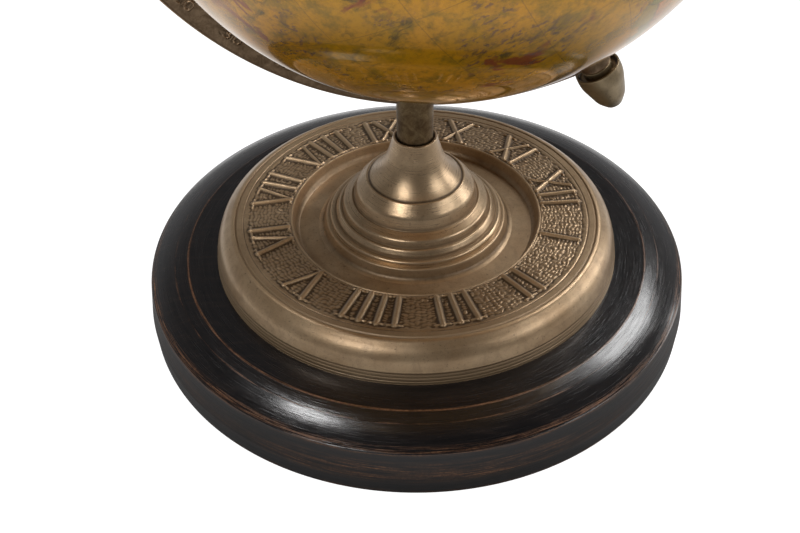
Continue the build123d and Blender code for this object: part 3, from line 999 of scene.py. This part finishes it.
def meridian_arm():
    """A flat half ring whose two sunk faces carry the raised scale, with a boss at each pole."""
    columns = 1200
    count = 36
    turn = np.linspace(0, math.pi, columns)
    bevel = 0.5
    radii = np.linspace(ARM_INNER_R + bevel, ARM_OUTER_R - bevel, count)
    half_t = ARM_T / 2
    section = [(r, -half_t) for r in radii]
    section += [(ARM_OUTER_R, -half_t + bevel), (ARM_OUTER_R, half_t - bevel)]
    section += [(r, half_t) for r in radii[::-1]]
    section += [(ARM_INNER_R, half_t - bevel), (ARM_INNER_R, -half_t + bevel)]
    section = np.array(section)
    radius = np.repeat(section[:, :1], columns, 1)
    side = np.repeat(section[:, 1:], columns, 1)
    hollow_and_shadow = np.zeros(radius.shape)
    arc = np.repeat((turn * LABEL_MIDDLE_R)[None, :], count, 0)
    front = slice(0, count)
    back = slice(count + 2, 2 * count + 2)
    edge = np.zeros(radius.shape)
    for face, reading, inwards in ((front, -1, 1), (back, 1, -1)):
        lines = line_height(arc, radius[face], scale_strokes(reading))
        rim = np.clip(1 - np.minimum(radius[face] - ARM_INNER_R, ARM_OUTER_R - radius[face]), 0, 1)
        side[face] += inwards * RAISED * (1 - np.maximum(lines, rim))
        edge[face] = lines * 0.9
        # painted shadow: a copy of the raised lines, shifted five columns along the arc, darkens the
        # face on one side of each line
        hollow_and_shadow[face] = np.roll(lines, 5, 1) * (1 - lines) * 0.8
    # turn 0 is the south pole, and the arc bulges towards -X of the globe's frame
    vertices = np.stack([-radius * np.sin(turn), side, -radius * np.cos(turn)], -1)
    faces = grid_faces(len(section), columns, True, False)
    # the rows on either side of the four bevels
    for first in (0, count + 2):
        for bevel_row in (first, first + count - 1, first + count, first + count + 1):
            edge[bevel_row] = 0.8
    boss_corners = [
        (BOSS_BORE_R, BOSS_INNER),
        (BOSS_R, BOSS_INNER, 0.5),
        (BOSS_R, ARM_OUTER_R, 0.5),
        (BOSS_BORE_R, ARM_OUTER_R),
    ]
    boss = resampled(rounded(boss_corners), 0.5)
    boss_edge, boss_hollow = corner_marks(boss, 0.6)
    boss_columns = 64
    north, boss_faces = lathe_part(boss, boss_columns)
    south = north * np.array([1, -1, -1])
    marks = {
        "edge": np.concatenate([edge.ravel(), *[np.repeat(boss_edge, boss_columns)] * 2]),
        "hollow_and_shadow": np.concatenate([hollow_and_shadow.ravel(), *[np.repeat(boss_hollow, boss_columns)] * 2]),
    }
    parts = [(vertices, faces[:, ::-1]), (north, boss_faces), (south, boss_faces)]
    return make_object("meridian_arm_cast", parts, marks, about_axis=True)


# ---------- axis pieces and globe
COLLAR = [(2.6, ARM_OUTER_R), (6.85, ARM_OUTER_R, 0.4), (6.85, CUP_FLOOR), (2.6, CUP_FLOOR)]
FINIAL = [
    (0.0, CUP_FLOOR + 3.0),
    (2.5, CUP_FLOOR + 3.0),
    (2.5, CUP_FLOOR),
    (9.1, CUP_FLOOR, 0.5),
    (9.5, RIM_OUT, 0.15),
    (10.3, RIM_OUT, 0.25),
    (10.4, 157.5, 18.0),
    (7.0, 168.5, 10.0),
    (3.4, TIP_OUT, 3.0),
    (0.0, TIP_OUT),
]


def axis_piece(name, corners, south):
    return turned(name, corners, 96, 0.3, 0.7, about_axis=True, flip=south)


def half_globe(name, south):
    """One half shell. Its shore attribute tells the map's shader how far the coast is."""
    pole_edge = math.pi / 2 - math.asin(POLE_HOLE_R / GLOBE_R)
    seam = SEAM_HALF / GLOBE_R
    inner_r = GLOBE_R - SHELL_T
    outer = [(GLOBE_R * math.cos(a), GLOBE_R * math.sin(a)) for a in np.linspace(seam, pole_edge, 116)]
    inner = [(inner_r * math.cos(a), inner_r * math.sin(a)) for a in np.linspace(pole_edge, 0.0, 24)]
    outline = np.array([(GLOBE_R - SEAM_DEPTH, 0.0), *outer, *inner])
    vertices, faces = lathe_part(outline, 480)
    if south:
        vertices = vertices * np.array([1, -1, -1])
    flat = vertices.reshape(-1, 3)
    shore = shore_distance(flat / np.linalg.norm(flat, axis=1, keepdims=True))
    return make_object(name, [(vertices, faces)], {"shore": shore}, about_axis=True)


# ---------- the scene
LENS_MM = 49.08
CAMERA_AT = (-0.0121, -0.4203, 0.3834)
CAMERA_TURN_DEG = (41.40, 0.55, -1.006)  # down, to the right and rolled
SWEEP_GLOW = 0.74
ROOM_LOW = 0.36
ROOM_MIDDLE = 0.13
ROOM_TOP = 0.03
LIGHT_DISTANCE = 1.5
# name, azimuth (0 is the viewer's side, 90 is +X), elevation, size in metres and watts
SOFTBOXES = [
    ("back_right", 134, 45, (0.46, 0.40), 7),
    ("front_left", -36, 42, (0.46, 0.46), 6),
    ("front_right", 66, 30, (0.70, 0.50), 4.5),
    ("right", 105, 14, (0.60, 0.55), 5),
    ("high_left", -108, 70, (0.25, 0.25), 5),
]


def camera():
    """The viewpoint: above the base and looking down at it."""
    lens = bpy.data.cameras.new("camera")
    lens.lens = LENS_MM
    lens.sensor_width = 36.0
    pitch, yaw, roll = (math.radians(angle) for angle in CAMERA_TURN_DEG)
    ahead = math.cos(pitch)
    forward = Vector((math.sin(yaw) * ahead, math.cos(yaw) * ahead, -math.sin(pitch)))
    level = Vector((math.cos(yaw), -math.sin(yaw), 0))
    upright = level.cross(forward)
    right = level * math.cos(roll) + upright * math.sin(roll)
    up = upright * math.cos(roll) - level * math.sin(roll)
    made = add_object("camera", lens)
    turn = Matrix((right, up, -forward)).transposed().to_4x4()
    made.matrix_world = Matrix.Translation(CAMERA_AT) @ turn
    bpy.context.scene.camera = made


def soft_light(name, azimuth, elevation, size, power):
    """A softbox that faces the stand."""
    a, e = math.radians(azimuth), math.radians(elevation)
    away = Vector((math.sin(a) * math.cos(e), -math.cos(a) * math.cos(e), math.sin(e)))
    lamp = bpy.data.lights.new(name, "AREA")
    lamp.shape = "RECTANGLE"
    lamp.size, lamp.size_y = size
    lamp.energy = power
    made = add_object(name, lamp)
    made.location = Vector((0, 0, 0.08)) + away * LIGHT_DISTANCE
    made.rotation_euler = (-away).to_track_quat("-Z", "Y").to_euler()


def studio():
    """A white sweep under a dark room with softboxes. Both look plain white from the camera, but
    in reflections the sweep is shaded round the base and the room is dark overhead."""
    floor_mesh = bpy.data.meshes.new("floor")
    reach = 3.0
    corners = [(-reach, -reach, 0), (reach, -reach, 0), (reach, reach, 0), (-reach, reach, 0)]
    floor_mesh.from_pydata(corners, [], [(0, 1, 2, 3)])
    floor = add_object("floor", floor_mesh)
    floor.location.z = -0.0002
    s = Shader("white_sweep", cad=True)
    _, x, y, _ = s.place()
    radius = s.distance_from_axis(x, y)
    glow = s.fit(radius, BASE_R * 1.1, BASE_R * 1.6, 0.02, SWEEP_GLOW)
    glow = s.minus(glow, s.fit(radius, BASE_R * 2.1, BASE_R * 4.2, 0.0, SWEEP_GLOW * 0.78))
    glow = s.math("MAXIMUM", glow, s.node("LightPath").outputs["Is Camera Ray"])
    surface = s.node("BsdfPrincipled", {"Base Color": (0.30, 0.30, 0.30), "Roughness": 0.9})
    s.feed(surface.inputs["Emission Color"], (1.0, 1.0, 1.0))
    s.feed(surface.inputs["Emission Strength"], glow)
    output = s.node("OutputMaterial")
    s.tree.links.new(surface.outputs[0], output.inputs[0])
    floor_mesh.materials.append(s.material)

    world = bpy.data.worlds.new("room")
    bpy.context.scene.world = world
    world.use_nodes = True
    s.tree = world.node_tree
    s.tree.nodes.clear()
    sky = s.node("SeparateXYZ", {0: s.node("TexCoord").outputs["Generated"]})
    low = s.fit(sky.outputs[2], 0.30, 0.55, ROOM_LOW, ROOM_MIDDLE)
    high = s.fit(sky.outputs[2], 0.55, 0.90, 0.0, ROOM_MIDDLE - ROOM_TOP)
    tone = s.times(s.minus(low, high), s.fit(sky.outputs[1], -0.7, 0.5, 0.35, 1.0))
    room = s.node("Background", {0: (0.97, 0.98, 1.0), 1: tone})
    white = s.node("Background", {0: (1.0, 1.0, 1.0), 1: 1.0})
    either = s.node("MixShader", {0: s.node("LightPath").outputs["Is Camera Ray"]})
    s.tree.links.new(room.outputs[0], either.inputs[1])
    s.tree.links.new(white.outputs[0], either.inputs[2])
    output = s.node("OutputWorld")
    s.tree.links.new(either.outputs[0], output.inputs[0])

    for softbox in SOFTBOXES:
        soft_light(*softbox)
    bpy.context.scene.view_settings.view_transform = "Standard"


camera()
studio()

DIAL_TONES = (0.45, 0.315, 0.185), (0.34, 0.220, 0.115), (0.045, 0.023, 0.007)
BELL_TONES = (0.47, 0.335, 0.20), (0.36, 0.240, 0.132), (0.055, 0.030, 0.012)
FINIAL_TONES = (0.27, 0.20, 0.11), (0.17, 0.12, 0.06), (0.03, 0.019, 0.009)
gold = brass("cast_dial", *DIAL_TONES, rough=0.36, lathe_pitch=0.4, grain_depth=0.014)
bell = brass("turned_pedestal", *BELL_TONES, rough=0.28, lathe_pitch=0.45, grain_depth=0.04)
tip = brass("turned_finial", *FINIAL_TONES, rough=0.40)
spacer_metal = brass("spacer_metal", *FINIAL_TONES, rough=0.40, cad=True)
arm_metal = dark_brass("arm_metal", (0.20, 0.138, 0.086), (0.11, 0.072, 0.042))
post_metal = dark_brass("post_metal", (0.18, 0.13, 0.07), (0.09, 0.058, 0.03), cad=True)
zinc, nylon, pressed_felt = steel(), inner_plastic(), felt()
map_skin = map_print()

for node, material in {
    "felt_pad": pressed_felt,
    "base_washer": zinc,
    "base_nut": zinc,
    "tie_rod": zinc,
    "axis_rod": zinc,
    "post": post_metal,
    "arm_pin": post_metal,
    "north_spacer": spacer_metal,
    "south_spacer": spacer_metal,
    "north_bush": nylon,
    "south_bush": nylon,
    "equator_ring": nylon,
}.items():
    dress(frame["nodes"][node], material)

place(wood_base(), lacquered_wood(), "stand", "wood_base")
place(dial_plate(), gold, "stand", "dial_plate")
pedestal = turned("pedestal_bell", PEDESTAL, 200, step=0.3, mark_width=0.7)
place(pedestal, bell, "stand", "pedestal")
place(meridian_arm(), arm_metal, "stand", "meridian_arm")
for end in ("north", "south"):
    south = end == "south"
    collar = axis_piece(f"{end}_collar_turned", COLLAR, south)
    place(collar, tip, "stand", f"{end}_collar")
    finial = axis_piece(f"{end}_finial_turned", FINIAL, south)
    place(finial, tip, "stand", f"{end}_finial")
    half = half_globe(f"globe_{end}_printed", south)
    place(half, map_skin, "globe", f"globe_{end}")
